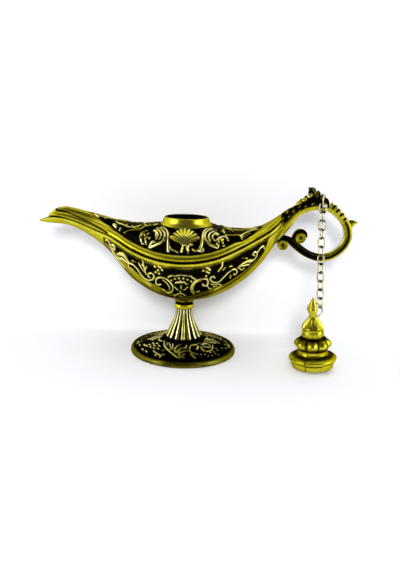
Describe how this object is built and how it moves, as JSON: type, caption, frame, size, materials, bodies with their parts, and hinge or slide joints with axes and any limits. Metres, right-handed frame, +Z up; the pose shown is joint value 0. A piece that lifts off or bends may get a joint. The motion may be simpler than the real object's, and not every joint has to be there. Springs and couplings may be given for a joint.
{
  "type": "genie lamp incense burner",
  "caption": "Boat-shaped genie lamp incense burner with long spout, scroll handle, fluted pedestal and a finial lid hanging from the handle on a fine cable chain.",
  "frame": {"origin": "middle of the floor box on the surface the foot and lid stand on, 5.9 mm towards the handle from the pedestal's axis", "axes": "+X from the spout to the handle, +Z up, the lid stands on the -Y side"},
  "size_m": [0.16, 0.0586, 0.0871],
  "materials": {
    "shell_brass": "aged cast brass colour with black in the recesses",
    "foot_brass": "dark aged brass colour, bright on the flutes",
    "lid_brass": "polished aged brass colour",
    "chain_wire": "pale plated wire",
    "screw_steel": "zinc-plated steel"
  },
  "bodies": {
    "lamp": {"lower_shell": "shell_brass", "upper_shell": "shell_brass", "handle": "shell_brass", "collar": "shell_brass", "pedestal": "foot_brass", "pedestal_screw": "screw_steel", "screw_washer": "screw_steel"},
    "chain_ring": {"chain_ring": "chain_wire"},
    "link_01": {"link_01": "chain_wire"},
    "link_02": {"link_02": "chain_wire"},
    "link_03": {"link_03": "chain_wire"},
    "link_04": {"link_04": "chain_wire"},
    "link_05": {"link_05": "chain_wire"},
    "link_06": {"link_06": "chain_wire"},
    "link_07": {"link_07": "chain_wire"},
    "link_08": {"link_08": "chain_wire"},
    "link_09": {"link_09": "chain_wire"},
    "link_10": {"link_10": "chain_wire"},
    "link_11": {"link_11": "chain_wire"},
    "link_12": {"link_12": "chain_wire"},
    "lid_ring": {"lid_ring": "chain_wire"},
    "lid": {"lid": "lid_brass"}
  },
  "joints": [
    {"name": "ring_swing", "type": "hinge", "parent": "lamp", "child": "chain_ring", "pos_m": [0.06223, 0.00075, 0.08138], "axis": [-0.9397, 0.342, 0], "range_deg": [-5, 40]},
    {"name": "link_01_swing", "type": "hinge", "parent": "chain_ring", "child": "link_01", "pos_m": [0.06159, -0.001, 0.07916], "axis": [-0.314, -0.9425, 0.1148], "range_deg": [-10, 40]},
    {"name": "link_02_swing", "type": "hinge", "parent": "link_01", "child": "link_02", "pos_m": [0.06159, -0.00148, 0.07507], "axis": [-1, 0, 0], "range_deg": [-5, 40]},
    {"name": "link_03_swing", "type": "hinge", "parent": "link_02", "child": "link_03", "pos_m": [0.06159, -0.0021, 0.07083], "axis": [0.1755, 0.9699, -0.1686], "range_deg": [-40, 15]},
    {"name": "link_04_swing", "type": "hinge", "parent": "link_03", "child": "link_04", "pos_m": [0.06159, -0.00284, 0.06662], "axis": [0.9413, -0.3309, 0.0662], "range_deg": [-40, 5]},
    {"name": "link_05_swing", "type": "hinge", "parent": "link_04", "child": "link_05", "pos_m": [0.06159, -0.00367, 0.06242], "axis": [-0.5075, -0.8403, 0.1905], "range_deg": [-15, 40]},
    {"name": "link_06_swing", "type": "hinge", "parent": "link_05", "child": "link_06", "pos_m": [0.06159, -0.00462, 0.05825], "axis": [-0.774, 0.6138, -0.1556], "range_deg": [-8, 40]},
    {"name": "link_07_swing", "type": "hinge", "parent": "link_06", "child": "link_07", "pos_m": [0.06159, -0.00567, 0.0541], "axis": [0.7181, 0.67, -0.1881], "range_deg": [-40, 20]},
    {"name": "link_08_swing", "type": "hinge", "parent": "link_07", "child": "link_08", "pos_m": [0.06159, -0.00683, 0.04998], "axis": [0.7205, -0.6627, 0.2044], "range_deg": [-40, 40]},
    {"name": "link_09_swing", "type": "hinge", "parent": "link_08", "child": "link_09", "pos_m": [0.06159, -0.00809, 0.04589], "axis": [-0.7231, -0.6547, 0.2203], "range_deg": [-20, 40]},
    {"name": "link_10_swing", "type": "hinge", "parent": "link_09", "child": "link_10", "pos_m": [0.06159, -0.00946, 0.04183], "axis": [-0.7259, 0.6461, -0.2358], "range_deg": [-40, 40]},
    {"name": "link_11_swing", "type": "hinge", "parent": "link_10", "child": "link_11", "pos_m": [0.06159, -0.01092, 0.03781], "axis": [0.729, 0.6369, -0.251], "range_deg": [-40, 20]},
    {"name": "link_12_swing", "type": "hinge", "parent": "link_11", "child": "link_12", "pos_m": [0.06159, -0.01249, 0.03383], "axis": [0.7323, -0.627, 0.2657], "range_deg": [-40, 40]},
    {"name": "lid_ring_swing", "type": "hinge", "parent": "link_12", "child": "lid_ring", "pos_m": [0.06159, -0.01416, 0.02989], "axis": [-0.7357, -0.6237, 0.2643], "range_deg": [-4, 30]},
    {"name": "lid_tilt", "type": "hinge", "parent": "lid_ring", "child": "lid", "pos_m": [0.05883, -0.01754, 0.0266], "axis": [1, 0, 0], "range_deg": [-16, 15]}
  ]
}
